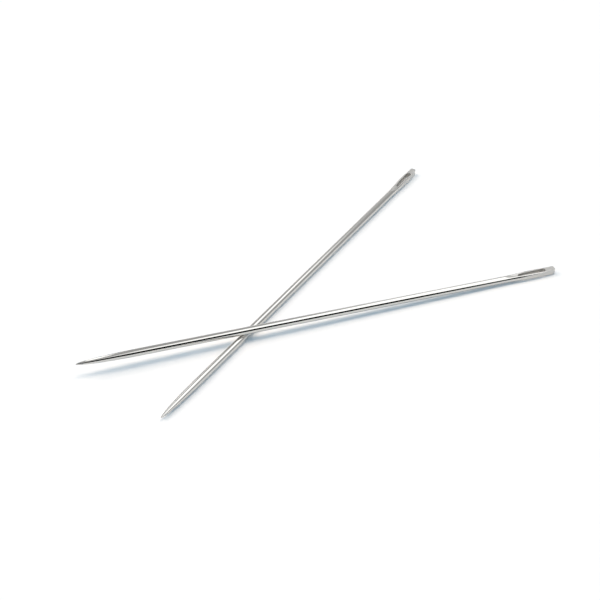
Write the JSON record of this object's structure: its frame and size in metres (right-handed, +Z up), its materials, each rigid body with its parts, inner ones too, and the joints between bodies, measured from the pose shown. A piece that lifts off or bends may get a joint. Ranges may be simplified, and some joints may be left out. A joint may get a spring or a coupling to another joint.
{
  "type": "yarn needle",
  "caption": "Long straight steel yarn needles with sharp points and long pressed eyes, lying crossed so that one rests over the other.",
  "frame": {"origin": "on the table, at the middle of the rectangle that the crossed pair takes up", "axes": "+X along the lower needle, from its point towards its eye; +Z up from the table; +Y towards the side where the upper needle's point is"},
  "size_m": [0.127, 0.0812, 0.0045],
  "materials": {
    "polished_steel": "nickel-plated steel wire, polished lengthwise"
  },
  "bodies": {
    "lower_needle": {"lower_needle_shank": "polished_steel", "lower_needle_eye_end": "polished_steel"},
    "upper_needle": {"upper_needle_shank": "polished_steel", "upper_needle_eye_end": "polished_steel"}
  },
  "joints": [
    {"name": "upper_needle_lift", "type": "slide", "parent": "lower_needle", "child": "upper_needle", "axis": [0, 0, 1], "range_m": [0, 0.05]}
  ]
}
